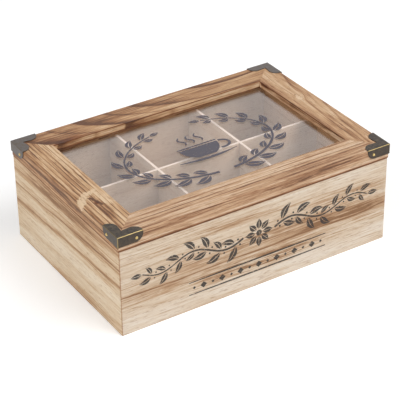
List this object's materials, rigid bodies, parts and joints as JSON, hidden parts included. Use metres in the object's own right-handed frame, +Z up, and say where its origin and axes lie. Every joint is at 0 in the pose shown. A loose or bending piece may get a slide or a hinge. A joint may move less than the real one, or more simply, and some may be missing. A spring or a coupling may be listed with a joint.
{
  "type": "tea bag organizer box",
  "caption": "Low wooden box divided into square compartments, with a hinged lid of mitred rails around a glass pane and metal brackets on the lid's corners.",
  "frame": {"origin": "centre of the closed lid's plan, on the plane that the box stands on", "axes": "+X to the right along the length, +Y to the back where the hinges are, +Z up; the front faces -Y"},
  "size_m": [0.2428, 0.1711, 0.0856],
  "materials": {
    "body_wood": "sanded bare paulownia, pale cream with tan bands",
    "lid_wood": "lightly scorched and brushed paulownia, toasted brown with dark grain",
    "panel_wood": "bare thin boards with creamy cut edges",
    "glass": "clear float glass with a distressed dark print",
    "bronzed_steel": "dark antique bronze finish on thin steel sheet, brass showing where the folds are worn",
    "brass": "bright brassed steel nails and screws"
  },
  "bodies": {
    "box": {"front_board": "body_wood", "back_board": "body_wood", "left_board": "body_wood", "right_board": "body_wood", "bottom_panel": "panel_wood", "bottom_brads": "bronzed_steel", "long_divider": "panel_wood", "left_cross_divider": "panel_wood", "right_cross_divider": "panel_wood", "left_box_leaf": "bronzed_steel", "right_box_leaf": "bronzed_steel", "left_hinge_pin": "brass", "right_hinge_pin": "brass", "box_leaf_screws": "brass"},
    "lid": {"front_rail": "lid_wood", "back_rail": "lid_wood", "left_rail": "lid_wood", "right_rail": "lid_wood", "glass_pane": "glass", "front_bead": "lid_wood", "back_bead": "lid_wood", "left_bead": "lid_wood", "right_bead": "lid_wood", "front_left_bracket": "bronzed_steel", "front_right_bracket": "bronzed_steel", "back_left_bracket": "bronzed_steel", "back_right_bracket": "bronzed_steel", "bracket_nails": "brass", "left_lid_leaf": "bronzed_steel", "right_lid_leaf": "bronzed_steel", "lid_leaf_screws": "brass"}
  },
  "joints": [
    {"name": "lid_hinge", "type": "hinge", "parent": "box", "child": "lid", "pos_m": [0, 0.085, 0.073], "axis": [-1, 0, 0], "range_deg": [0, 180]}
  ]
}
